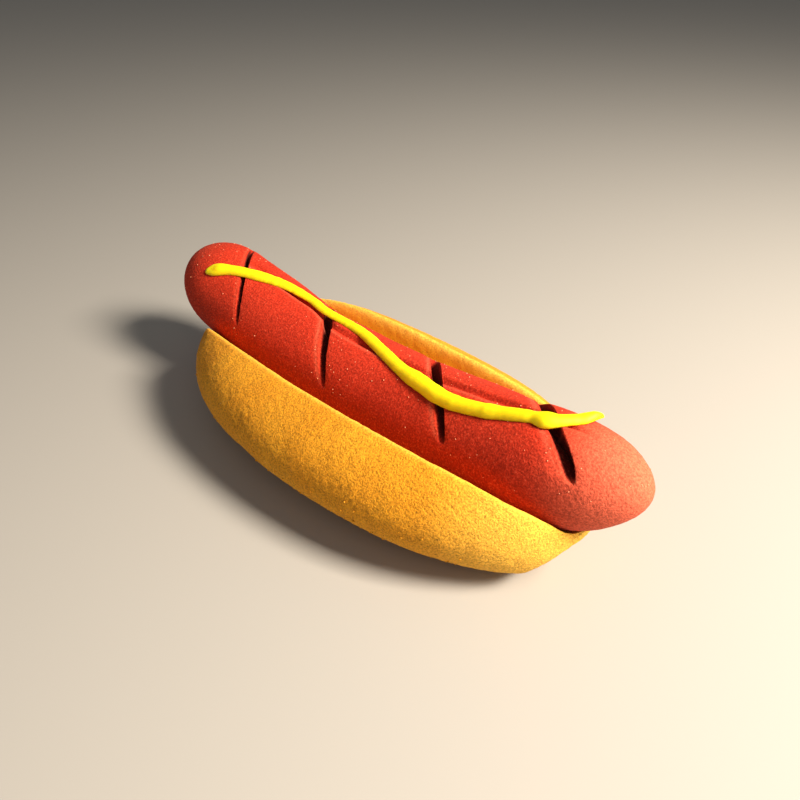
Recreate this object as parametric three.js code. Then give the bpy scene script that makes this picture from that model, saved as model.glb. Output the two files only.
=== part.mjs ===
// A toy hot dog cut from soft foam: an open bun, a bent sausage with four slanting slits and a
// shallow furrow along its crest, and a wavy line of mustard. Millimetres, +Z up, the sausage
// along X, the table at Z = 0 and the origin under the middle of the whole.

import * as THREE from 'three';

// Sausage: its middle line is an arc that rises towards both ends
const SAUSAGE_LENGTH = 165;
const SAUSAGE_RADIUS = 13.7;
const SAUSAGE_RISE_ANGLE = THREE.MathUtils.degToRad(16.9);
const SAUSAGE_BEND_RADIUS = SAUSAGE_LENGTH / 2 / SAUSAGE_RISE_ANGLE;
const SAUSAGE_Y = 3;
const SAUSAGE_AXIS_HEIGHT = 19.2;

// Each end rounds off over its own length: the left one is blunter, the right one like a bullet
const LEFT_END = { length: 19.7, power: 1.9, rows: 7 };
const RIGHT_END = { length: 27.5, power: 1.85, rows: 9 };

// Slits: cut on the slant, each deepest at its middle and ending at a near and a far angle in
// degrees from the crest, bowed along the sausage by so much at one angle, and narrowing towards
// both ends as a power of what is left of its depth
const SLIT_SLANT = THREE.MathUtils.degToRad(46);
const SLIT_EDGE_WIDTH = 0.3;
const SLIT_DEPTH_POWER = 0.8;
const SLITS = [
  { at: -57.0, width: 2.3, depth: 4.2, near: -71, far: 46, taper: 0.4, bow: 0, bowAngle: 0 },
  { at: -17.6, width: 3.5, depth: 5.2, near: -74, far: 46, taper: 0.55, bow: -0.9, bowAngle: -42 },
  { at: 24.8, width: 3.3, depth: 5.4, near: -69, far: 46, taper: 0.4, bow: 0, bowAngle: 0 },
  { at: 59.0, width: 4.2, depth: 5.0, near: -67, far: 48, taper: 0.65, bow: -1.2, bowAngle: -66 },
];
const BOW_REACH = 7;
const BOW_SPREAD = 22;

// Rows of a slit: how far out each one lies, and its share of the depth there
const SLIT_PROFILE = [
  { out: -1, share: 0 },
  { out: -0.6, share: 0.6 },
  { out: 0, share: 1 },
  { out: 0.6, share: 0.6 },
  { out: 1, share: 0 },
];

// Furrow: a V cut along the crest, on its far side at first and on its near side after the bend
const FURROW_FIRST_ANGLE = 6;
const FURROW_LAST_ANGLE = -6.5;
const FURROW_BEND_START = -27;
const FURROW_BEND_END = -10;
const FURROW_DEPTH = 1.4;
const FURROW_HALF_WIDTH = 1.35;
const FURROW_FOOT_WIDTH = 0.12;
const FURROW_RIM_SHARPNESS = 9;
const FURROW_START = -60;
const FURROW_END = 73;
const FURROW_FADE = 10;

// Pressed places: the far shoulder by the last slit is hollow, the one at the left swells a little
const PRESSES = [
  { at: 57, angle: 65, depth: 2.0, reach: 13, spread: 42 },
  { at: -22, angle: 58, depth: 0.9, reach: 11, spread: 30 },
  { at: -45, angle: 42, depth: -0.6, reach: 12, spread: 26 },
];

// Sausage mesh: its rows lean with the slits, and its columns crowd together at the furrow
const SAUSAGE_ROW_STEP = 4.2;
const SAUSAGE_COLUMNS = 40;
const COLUMN_CROWDING = 0.6;
const LEAN_ENDS_AT = 61;

// Bun: an oval loaf, wider than it is high, with a flat spot where it stands
const BUN_MIDDLE_X = 3.9;
const BUN_LEFT = { halfLength: 63, planPower: 2.3, sidePower: 4.2 };
const BUN_RIGHT = { halfLength: 66, planPower: 2.16, sidePower: 4.6 };
const BUN_HALF_WIDTH = 33.7;
const BUN_WIDEST_HEIGHT = 15.45;
const BUN_BELLY = 15.95;
const BUN_CROWN = 16.95;
const BUN_CROWN_LEAN = 0.5;

// The underside is trimmed on the slant below the right end
const TRIM_START_X = 60.6;
const TRIM_SLOPE = 1.39;
const TRIM_SIDE_SLOPE = 0.1;
const TRIM_ROUNDING = 2;

// Trough: it follows the sausage from below, then leans out to the two lips
const TROUGH_GAP = 0.5;
const NEAR_WALL_SLOPE = 1.6;
const FAR_WALL_SLOPE = 2.9;
const LIP_ROUNDING = 3.0;

// Bun mesh: rows across it, and steps along each stretch of its outline
const BUN_ROWS = 54;
const SIDE_STEPS = 5;
const LIP_HALF_WIDTH = 1.6;
const LIP_STEPS = 4;
const TROUGH_STEPS = 13;
const BELLY_STEPS = 12;

// Mustard: a line of middle points, each with its place along the sausage, its angle round it
// in degrees from the crest, and the half width of the bead there
const MUSTARD_LINE = [
  [-64.3, -45, 1.4],
  [-60.8, -32.5, 2.1],
  [-56.0, -20.5, 1.75],
  [-48.0, -5.5, 1.9],
  [-38.8, 7.7, 1.85],
  [-28.2, 12.3, 1.6],
  [-21.5, 8.5, 1.55],
  [-11.0, 9.0, 1.6],
  [-4.0, 6.0, 1.7],
  [7.0, -6.0, 1.7],
  [17.0, -17.0, 1.8],
  [23.5, -21.2, 2.3],
  [34.0, -28.2, 2.1],
  [45.0, -25.5, 1.9],
  [57.5, -16.2, 1.75],
  [61.3, -13.6, 2.15],
  [63.5, -8.2, 1.7],
  [65.5, 1.5, 1.6],
  [67.3, 14.0, 1.7],
  [68.0, 22.5, 1.8],
  [68.3, 29.0, 1.8],
];
const MUSTARD_HEIGHT_RATIO = 0.8;
const MUSTARD_GAP = 0.3;
const MUSTARD_ROWS = 72;
const MUSTARD_SIDES = 10;
const MUSTARD_TIP_STEPS = 3;

// The bead's right end is drawn up off the sausage over its last share
const MUSTARD_LIFT = 1.4;
const MUSTARD_LIFT_SHARE = 0.14;

// Colours: two foams and a paste
const BUN_FINISH = new THREE.MeshStandardMaterial({ color: 0xdb9a2c, roughness: 0.95, metalness: 0 });
const SAUSAGE_FINISH = new THREE.MeshStandardMaterial({ color: 0xb03020, roughness: 0.9, metalness: 0 });
const MUSTARD_FINISH = new THREE.MeshStandardMaterial({ color: 0xf2e205, roughness: 0.45, metalness: 0 });

// Evenly spaced numbers from one value to another, both included
function spaced(from, to, steps) {
  return Array.from({ length: steps + 1 }, (unused, i) => from + ((to - from) * i) / steps);
}

// The smaller of two numbers, with the corner where they cross rounded over a given height
function roundedMin(a, b, rounding) {
  const overlap = Math.max(rounding - Math.abs(a - b), 0) / rounding;
  return Math.min(a, b) - (overlap * overlap * rounding) / 4;
}

// A closed body from rings of points, each ring closed by itself, with a point at either end
function skin(rings, firstPoint, lastPoint) {
  const sides = rings[0].length;
  const points = [firstPoint, ...rings.flat(), lastPoint];
  const last = points.length - 1;
  const index = [];
  for (let side = 0; side < sides; side += 1) {
    const next = (side + 1) % sides;
    index.push(0, 1 + side, 1 + next);
    for (let row = 0; row < rings.length - 1; row += 1) {
      const here = 1 + row * sides;
      const beyond = here + sides;
      index.push(here + side, beyond + next, here + next);
      index.push(here + side, beyond + side, beyond + next);
    }
    index.push(last, last - sides + next, last - sides + side);
  }
  const geometry = new THREE.BufferGeometry().setFromPoints(points);
  geometry.setIndex(index);
  geometry.computeVertexNormals();
  return geometry;
}

// The sausage's radius at a place along it, from -length / 2 to length / 2
function sausageRadius(along) {
  const end = along < 0 ? LEFT_END : RIGHT_END;
  const past = Math.max(Math.abs(along) - (SAUSAGE_LENGTH / 2 - end.length), 0) / end.length;
  return SAUSAGE_RADIUS * Math.max(1 - past ** end.power, 0) ** (1 / end.power);
}

// A bell curve: 1 where the distance is none, falling off over the reach
function bell(distance, reach) {
  return Math.exp(-((distance / reach) ** 2));
}

// The sausage's radius at a place and an angle, with its pressed places
function pressedRadius(along, angle) {
  const radius = sausageRadius(along);
  const degrees = THREE.MathUtils.radToDeg(angle);
  const pressed = PRESSES.map((press) => press.depth
    * bell(along - press.at, press.reach) * bell(degrees - press.angle, press.spread));
  return radius - (radius / SAUSAGE_RADIUS) * pressed.reduce((sum, depth) => sum + depth, 0);
}

// A point beside the sausage's middle line, at an angle round it from straight up, towards +Y
function besideSausage(along, angle, radius) {
  const turn = along / SAUSAGE_BEND_RADIUS;
  const inward = SAUSAGE_BEND_RADIUS - radius * Math.cos(angle);
  return new THREE.Vector3(
    Math.sin(turn) * inward,
    SAUSAGE_Y + radius * Math.sin(angle),
    SAUSAGE_AXIS_HEIGHT + SAUSAGE_BEND_RADIUS - Math.cos(turn) * inward,
  );
}

// How far a row is carried along the sausage at an angle: by the slant, none at the two tips,
// and by the bow of a slit close by
function lean(row, angle) {
  const fade = (SAUSAGE_LENGTH / 2 - Math.abs(row)) / (SAUSAGE_LENGTH / 2 - LEAN_ENDS_AT);
  const slant = SAUSAGE_RADIUS * Math.sin(angle) * Math.tan(SLIT_SLANT) * Math.min(fade, 1);
  const degrees = THREE.MathUtils.radToDeg(angle);
  const bows = SLITS.map((slit) => slit.bow
    * bell(row - slit.at, BOW_REACH) * bell(degrees - slit.bowAngle, BOW_SPREAD));
  return bows.reduce((sum, bow) => sum + bow, 0) - slant;
}

// How much of its full depth a slit has at an angle: a straight blade cuts a chord
function slitShare(slit, angle) {
  const near = THREE.MathUtils.degToRad(slit.near);
  const far = THREE.MathUtils.degToRad(slit.far);
  const middle = (near + far) / 2;
  const reach = (far - near) / 2;
  if (Math.abs(angle - middle) >= reach) return 0;
  return (1 - Math.cos(reach) / Math.cos(angle - middle)) / (1 - Math.cos(reach));
}

// The angle of the furrow's bottom at a place along the sausage
function furrowAngle(along) {
  const bend = THREE.MathUtils.smoothstep(along, FURROW_BEND_START, FURROW_BEND_END);
  return THREE.MathUtils.degToRad(THREE.MathUtils.lerp(FURROW_FIRST_ANGLE, FURROW_LAST_ANGLE, bend));
}

// The furrow's depth at a place on the sausage
function furrowDepth(along, angle) {
  const across = (SAUSAGE_RADIUS * (angle - furrowAngle(along))) / FURROW_HALF_WIDTH;
  const fromEnds = Math.min(along - FURROW_START, FURROW_END - along) / FURROW_FADE;
  const below = FURROW_RIM_SHARPNESS * (1 - Math.hypot(across, FURROW_FOOT_WIDTH));
  const wedge = Math.log1p(Math.exp(below)) / FURROW_RIM_SHARPNESS;
  return FURROW_DEPTH * wedge * THREE.MathUtils.smoothstep(fromEnds, 0, 1);
}

// The rows of the sausage: both ends, the barrel between the slits, and five for each slit
function sausageRows() {
  const half = SAUSAGE_LENGTH / 2;
  const rows = [];
  for (const [end, sign] of [[LEFT_END, -1], [RIGHT_END, 1]]) {
    for (let i = 1; i <= end.rows; i += 1) {
      const place = half - end.length * (1 - Math.cos((i / end.rows) * (Math.PI / 2)));
      rows.push({ place: sign * place });
    }
  }
  for (const slit of SLITS) {
    for (const cut of SLIT_PROFILE) rows.push({ place: slit.at + cut.out * slit.width, slit, cut });
  }
  const between = half - RIGHT_END.length;
  const barrel = spaced(-between, between, Math.round((2 * between) / SAUSAGE_ROW_STEP));
  const crowded = (place) => rows.some((row) => Math.abs(row.place - place) < SAUSAGE_ROW_STEP / 2);
  for (const place of barrel) {
    if (!crowded(place)) rows.push({ place });
  }
  return rows.sort((a, b) => a.place - b.place);
}

// Half of a slit's width where it has a share of its full depth
function slitHalfWidth(slit, share) {
  return SLIT_EDGE_WIDTH + (slit.width / 2 - SLIT_EDGE_WIDTH) * share ** slit.taper;
}

// One slanting ring of the sausage, drawn in where it is the bottom or an edge of a slit
function sausageRing(row) {
  return spaced(-Math.PI, Math.PI, SAUSAGE_COLUMNS).slice(1).map((step) => {
    const angle = furrowAngle(row.place) + step - COLUMN_CROWDING * Math.sin(step);
    const share = row.slit ? slitShare(row.slit, angle) : 0;
    const place = row.slit
      ? row.slit.at + row.cut.out * slitHalfWidth(row.slit, share)
      : row.place;
    const along = place + lean(place, angle);
    const depth = row.slit ? row.slit.depth * row.cut.share * share ** SLIT_DEPTH_POWER : 0;
    const radius = pressedRadius(along, angle) - furrowDepth(along, angle) - depth;
    return besideSausage(along, angle, radius);
  });
}

function sausageGeometry() {
  const half = SAUSAGE_LENGTH / 2;
  const rings = sausageRows().map(sausageRing);
  return skin(rings, besideSausage(-half, 0, 0), besideSausage(half, 0, 0));
}

// What is left of the loaf's width or height at a share of its half length
function taper(share, power) {
  return Math.max(1 - Math.abs(share) ** power, 0) ** (1 / power);
}

// The trough's floor and walls: height above the table at a place under or beside the sausage
function troughHeight(x, y) {
  const turn = Math.asin(x / (SAUSAGE_BEND_RADIUS + SAUSAGE_RADIUS));
  const radius = sausageRadius(SAUSAGE_BEND_RADIUS * turn) + TROUGH_GAP;
  const across = Math.abs(y - SAUSAGE_Y);
  const slope = y < SAUSAGE_Y ? NEAR_WALL_SLOPE : FAR_WALL_SLOPE;
  const touch = (radius * slope) / Math.hypot(1, slope);
  const curved = Math.min(across, touch);
  const reach = SAUSAGE_BEND_RADIUS + Math.sqrt(radius * radius - curved * curved);
  const floor = SAUSAGE_AXIS_HEIGHT + SAUSAGE_BEND_RADIUS - Math.sqrt(reach * reach - x * x);
  return floor + (across - curved) * slope;
}

// One upright slice of the bun
class BunSlice {
  constructor(share) {
    const end = share < 0 ? BUN_LEFT : BUN_RIGHT;
    this.x = BUN_MIDDLE_X + end.halfLength * share;
    this.halfWidth = BUN_HALF_WIDTH * taper(share, end.planPower);
    this.side = taper(share, end.sidePower);
  }

  // The loaf's outer height at a distance across, above its widest line or below it
  outerHeight(y, bulge, lean = 0) {
    const across = THREE.MathUtils.clamp(y / this.halfWidth, -1, 1);
    return BUN_WIDEST_HEIGHT + (bulge - lean * across) * this.side * Math.sqrt(1 - across * across);
  }

  crownHeight(y) {
    return this.outerHeight(y, BUN_CROWN, BUN_CROWN_LEAN);
  }

  topHeight(y) {
    return roundedMin(this.crownHeight(y), troughHeight(this.x, y), LIP_ROUNDING);
  }

  bottomHeight(y) {
    const trim = TRIM_SLOPE * (this.x - TRIM_START_X) - TRIM_SIDE_SLOPE * y;
    return Math.max(-roundedMin(-this.outerHeight(y, -BUN_BELLY), -trim, TRIM_ROUNDING), 0);
  }

  // Where the trough's wall meets the loaf's outside, found by halving the distance
  lip(side) {
    let inner = Math.min(SAUSAGE_Y, this.halfWidth);
    let outer = side * this.halfWidth;
    for (let i = 0; i < 40; i += 1) {
      const middle = (inner + outer) / 2;
      if (this.crownHeight(middle) > troughHeight(this.x, middle)) inner = middle;
      else outer = middle;
    }
    return inner;
  }

  // Distances across for the upper outline: side, lip, trough, lip and side
  upperPlaces() {
    const near = this.lip(-1);
    const far = this.lip(1);
    const spare = Math.min(this.halfWidth + near, this.halfWidth - far, (far - near) / 2);
    const round = Math.min(LIP_HALF_WIDTH, spare / 2);
    const towardsEdge = (edge, lip) => spaced(0, Math.PI / 2, SIDE_STEPS)
      .map((angle) => lip + (edge - lip) * Math.cos(angle));
    const nearSide = towardsEdge(-this.halfWidth, near - round);
    const farSide = towardsEdge(this.halfWidth, far + round).reverse();
    const trough = spaced(near + round, far - round, TROUGH_STEPS);
    return [
      ...nearSide,
      ...spaced(near - round, near + round, LIP_STEPS).slice(1, -1),
      ...trough,
      ...spaced(far - round, far + round, LIP_STEPS).slice(1, -1),
      ...farSide,
    ];
  }

  // The whole outline, over the top from near to far and back underneath
  outline() {
    const over = this.upperPlaces().map((y) => new THREE.Vector3(this.x, y, this.topHeight(y)));
    const under = spaced(0, Math.PI, BELLY_STEPS).slice(1, -1)
      .map((angle) => this.halfWidth * Math.cos(angle))
      .map((y) => new THREE.Vector3(this.x, y, this.bottomHeight(y)));
    return [...over, ...under];
  }
}

function bunGeometry() {
  const shares = spaced(0, Math.PI, BUN_ROWS).slice(1, -1).map((angle) => -Math.cos(angle));
  const rings = shares.map((share) => new BunSlice(share).outline());
  const tip = (share) => new THREE.Vector3(new BunSlice(share).x, 0, BUN_WIDEST_HEIGHT);
  return skin(rings, tip(-1), tip(1));
}

// The sausage's surface at a place and an angle, leaving out its slits and furrow
function onSausage(along, angle) {
  return besideSausage(along, angle, pressedRadius(along, angle));
}

// The way straight out of the sausage's surface
function outOfSausage(along, angle) {
  const step = 0.01;
  const lengthways = onSausage(along + step, angle).sub(onSausage(along - step, angle));
  const around = onSausage(along, angle + step).sub(onSausage(along, angle - step));
  return lengthways.cross(around).normalize();
}

// How far the bead's underside stands off the sausage
function mustardStandoff(share) {
  return MUSTARD_GAP + MUSTARD_LIFT * THREE.MathUtils.smoothstep(share, 1 - MUSTARD_LIFT_SHARE, 1);
}

// One ring of the mustard bead: flat underneath, round on top
function mustardRing(curve, share, fullness) {
  const here = curve.getPoint(share);
  const ahead = curve.getPoint(Math.min(share + 0.01, 1));
  const behind = curve.getPoint(Math.max(share - 0.01, 0));
  const foot = onSausage(here.x, here.y);
  const up = outOfSausage(here.x, here.y);
  const forward = onSausage(ahead.x, ahead.y).sub(onSausage(behind.x, behind.y));
  const across = forward.cross(up).normalize();
  const halfWidth = here.z * fullness;
  return spaced(0, 2 * Math.PI, MUSTARD_SIDES).slice(1).map((angle) => {
    const sideways = halfWidth * Math.cos(angle);
    const sag = (sideways * sideways) / (2 * SAUSAGE_RADIUS);
    const crown = MUSTARD_HEIGHT_RATIO * halfWidth * Math.max(Math.sin(angle), 0);
    return foot.clone()
      .addScaledVector(across, sideways)
      .addScaledVector(up, mustardStandoff(share) - sag + crown);
  });
}

function mustardGeometry() {
  const knots = MUSTARD_LINE
    .map(([along, degrees, half]) => new THREE.Vector3(along, THREE.MathUtils.degToRad(degrees), half));
  const curve = new THREE.CatmullRomCurve3(knots, false, 'centripetal');
  const shares = spaced(0, 1, MUSTARD_ROWS);
  const rings = shares.slice(1, -1).map((share, i) => {
    const fromEnd = Math.min(i + 1, MUSTARD_ROWS - 1 - i) / MUSTARD_TIP_STEPS;
    return mustardRing(curve, share, Math.sqrt(Math.min(fromEnd, 1)));
  });
  const point = (share) => {
    const end = curve.getPoint(share);
    return onSausage(end.x, end.y).addScaledVector(outOfSausage(end.x, end.y), mustardStandoff(share));
  };
  return skin(rings, point(0), point(1));
}

// A named piece of the hot dog
function piece(name, geometry, material) {
  const mesh = new THREE.Mesh(geometry, material);
  mesh.name = name;
  return mesh;
}

const hotDog = new THREE.Group();
hotDog.add(piece('bun', bunGeometry(), BUN_FINISH));
hotDog.add(piece('sausage', sausageGeometry(), SAUSAGE_FINISH));
hotDog.add(piece('mustard', mustardGeometry(), MUSTARD_FINISH));

export default hotDog;
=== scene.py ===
"""Dresses a toy hot dog of soft foam: an open bun, a slit sausage and a wavy line of mustard.

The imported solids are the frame. Each piece here takes the place of one of them, with the same
form and size, and adds what foam and paste show close by: pores, grain, soft edges and crumbs.
Shapes are numpy surfaces: rings of points, each ring a formula of a place and an angle.
"""

from __future__ import annotations

import logging
import math
from dataclasses import dataclass, field
from enum import Enum
from typing import Any

import bpy
import numpy as np
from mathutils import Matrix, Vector


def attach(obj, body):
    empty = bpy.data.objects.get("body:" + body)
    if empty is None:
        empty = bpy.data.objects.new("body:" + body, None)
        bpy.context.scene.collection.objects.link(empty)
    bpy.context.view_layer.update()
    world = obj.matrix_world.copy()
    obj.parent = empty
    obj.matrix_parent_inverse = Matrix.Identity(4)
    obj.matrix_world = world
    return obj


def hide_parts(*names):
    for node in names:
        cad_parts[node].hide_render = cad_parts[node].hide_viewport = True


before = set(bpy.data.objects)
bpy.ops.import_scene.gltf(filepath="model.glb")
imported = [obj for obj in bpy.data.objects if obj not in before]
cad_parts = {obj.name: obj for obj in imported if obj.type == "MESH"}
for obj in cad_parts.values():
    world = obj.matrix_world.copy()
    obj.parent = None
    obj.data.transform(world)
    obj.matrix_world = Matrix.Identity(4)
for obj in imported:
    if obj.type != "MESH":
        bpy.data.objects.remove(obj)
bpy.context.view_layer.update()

LOG = logging.getLogger("hot_dog")
MM = 0.001


class Seed(Enum):
    """Where each random pattern starts, so that every run gives the same result."""

    BUN_LUMPS = 11
    BUN_PORES = 12
    SAUSAGE_GRAIN = 21
    SAUSAGE_DENTS = 22
    MUSTARD_WAVES = 31
    BUN_CRUMBS = 41
    SPECKS = 42


class Side(Enum):
    """The two sides of the bun, as the sign of Y."""

    NEAR = -1
    FAR = 1


def linear(colour: str) -> tuple[float, float, float, float]:
    """Turns an sRGB colour into linear light.

    Args:
        colour: six hex digits, such as "E8A52F".

    Returns:
        Red, green, blue and an alpha of one.
    """
    parts = [int(colour[i:i + 2], 16) / 255 for i in (0, 2, 4)]
    light = [c / 12.92 if c <= 0.04045 else ((c + 0.055) / 1.055) ** 2.4 for c in parts]
    return light[0], light[1], light[2], 1.0


def add_node(tree: bpy.types.NodeTree, kind: str, settings: dict[str, Any] | None = None,
             inputs: dict[Any, Any] | None = None) -> bpy.types.Node:
    """Adds one shader node with its settings, values and links.

    Args:
        tree: the material's node tree.
        kind: the node's type name.
        settings: node properties by name.
        inputs: socket name or number, to a value or to the output socket that feeds it.

    Returns:
        The new node.
    """
    node = tree.nodes.new(kind)
    for name, value in (settings or {}).items():
        setattr(node, name, value)
    for name, value in (inputs or {}).items():
        if isinstance(value, bpy.types.NodeSocket):
            tree.links.new(value, node.inputs[name])
        else:
            node.inputs[name].default_value = value
    return node


def add_object(name: str, data: bpy.types.ID) -> bpy.types.Object:
    """Puts an object in the scene.

    Args:
        name: the object's name.
        data: its mesh, light or camera.

    Returns:
        The object, at the origin.
    """
    item = bpy.data.objects.new(name, data)
    bpy.context.scene.collection.objects.link(item)
    return item


def smooth(value: np.ndarray, low: float, high: float) -> np.ndarray:
    """Rises from 0 at low to 1 at high along 3t^2 - 2t^3."""
    t = np.clip((value - low) / (high - low), 0, 1)
    return t * t * (3 - 2 * t)


def rounded_min(a: np.ndarray, b: np.ndarray, rounding: np.ndarray | float) -> np.ndarray:
    """The smaller of a and b, less a quarter of (1 - gap / rounding)^2 * rounding where they are close."""
    overlap = np.maximum(rounding - np.abs(a - b), 0) / rounding
    return np.minimum(a, b) - overlap * overlap * rounding / 4


def lattice_random(cells: np.ndarray, seed: int) -> np.ndarray:
    """A fixed random number for each cell of a cubic lattice.

    Args:
        cells: whole numbers, three to a point.
        seed: which pattern.

    Returns:
        Numbers from 0 to 1: the three coordinates are multiplied by large primes, mixed by
        shifts, and cut to 32 bits.
    """
    keys = cells.astype(np.int64).astype(np.uint64)
    mixed = keys[..., 0] * np.uint64(73856093) ^ keys[..., 1] * np.uint64(19349663)
    mixed = mixed ^ keys[..., 2] * np.uint64(83492791) ^ np.uint64(seed * 2654435761)
    mixed = (mixed ^ (mixed >> np.uint64(15))) * np.uint64(2246822519)
    mixed = (mixed ^ (mixed >> np.uint64(13))) * np.uint64(3266489917)
    return ((mixed >> np.uint64(16)) & np.uint64(0xFFFFFFFF)).astype(float) / 0xFFFFFFFF


def noise(points: np.ndarray, size: float, seed: Seed) -> np.ndarray:
    """Smooth noise: random values at lattice corners, blended by 3t^2 - 2t^3 along each axis.

    Args:
        points: places, three numbers to a point.
        size: the lattice's cell, in the same units.
        seed: which pattern.

    Returns:
        Numbers from -1 to 1, one to a point.
    """
    scaled = points / size
    base = np.floor(scaled)
    part = scaled - base
    weight = part * part * (3 - 2 * part)
    total = np.zeros(points.shape[:-1])
    for corner in np.ndindex(2, 2, 2):
        offset = np.array(corner)
        share = np.prod(np.where(offset, weight, 1 - weight), axis=-1)
        total += share * lattice_random(base + offset, seed.value)
    return 2 * total - 1


def pores(points: np.ndarray, size: float, seed: Seed) -> np.ndarray:
    """Distance to the nearest pore: one pore at a random place in each cell of a lattice.

    Args:
        points: places, three numbers to a point.
        size: the lattice's cell, so the mean distance between pores.
        seed: which pattern.

    Returns:
        The distance as a share of the cell's size.
    """
    scaled = points / size
    base = np.floor(scaled)
    nearest = np.full(points.shape[:-1], 9.0)
    for step in np.ndindex(3, 3, 3):
        cell = base + np.array(step) - 1
        jitter = np.stack([lattice_random(cell, seed.value + 100 * axis) for axis in (1, 2, 3)], axis=-1)
        nearest = np.minimum(nearest, np.linalg.norm(cell + jitter - scaled, axis=-1))
    return nearest


@dataclass
class Skin:
    """A closed surface: rings of points from one end to the other, and a point at either end.

    Each point of the rings may also carry a share of painted highlight, and a share of the cut colour (cut
    faces, and on the sausage also painted shade beside the bun), from 0 to 1.
    """

    rings: np.ndarray
    first: np.ndarray
    last: np.ndarray
    painted_highlight: np.ndarray | None = None
    cut: np.ndarray | None = None

    def normals(self) -> np.ndarray:
        """Unit normals: the cross product of the steps along the rows and around the rings."""
        wrapped = np.concatenate([self.rings[:, -1:], self.rings, self.rings[:, :1]], axis=1)
        around = wrapped[:, 2:] - wrapped[:, :-2]
        along = np.gradient(self.rings, axis=0)
        across = np.cross(along, around)
        return across / np.maximum(np.linalg.norm(across, axis=-1, keepdims=True), 1e-12)

    def pushed(self, height: np.ndarray) -> Skin:
        """The same surface with each point moved along its normal by a height."""
        rings = self.rings + self.normals() * height[..., None]
        return Skin(rings, self.first, self.last, self.painted_highlight, self.cut)

    def build(self, name: str) -> bpy.types.Object:
        """Makes the mesh object, in metres.

        Args:
            name: the piece's name.

        Returns:
            The object, at the origin, shaded smooth.
        """
        rows, sides = self.rings.shape[:2]
        points = np.concatenate([self.first[None], self.rings.reshape(-1, 3), self.last[None]]) * MM
        here = 1 + np.arange(rows - 1)[:, None] * sides + np.arange(sides)[None]
        beside = 1 + np.arange(rows - 1)[:, None] * sides + (np.arange(sides)[None] + 1) % sides
        quads = np.stack([here, here + sides, beside + sides, beside], axis=-1).reshape(-1, 4)
        start = 1 + np.arange(sides)
        after = 1 + (np.arange(sides) + 1) % sides
        end = len(points) - 1
        caps = np.concatenate([
            np.stack([np.zeros(sides, int), start, after], axis=-1),
            np.stack([np.full(sides, end), after + end - sides - 1, start + end - sides - 1], axis=-1),
        ])
        corners = np.concatenate([quads.ravel(), caps.ravel()])
        sizes = np.concatenate([np.full(len(quads), 4), np.full(len(caps), 3)])
        mesh = bpy.data.meshes.new(name)
        mesh.vertices.add(len(points))
        mesh.vertices.foreach_set("co", points.ravel())
        mesh.loops.add(len(corners))
        mesh.loops.foreach_set("vertex_index", corners)
        mesh.polygons.add(len(sizes))
        mesh.polygons.foreach_set("loop_start", np.concatenate([[0], np.cumsum(sizes)[:-1]]))
        mesh.polygons.foreach_set("use_smooth", np.ones(len(sizes), bool))
        for layer, values in (("painted_highlight", self.painted_highlight), ("cut", self.cut)):
            if values is not None:
                attribute = mesh.attributes.new(layer, "FLOAT", "POINT")
                ends = [values[0].mean()], [values[-1].mean()]
                attribute.data.foreach_set("value", np.concatenate([ends[0], values.ravel(), ends[1]]))
        mesh.update(calc_edges=True)
        mesh.validate()
        return add_object(name, mesh)


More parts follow.
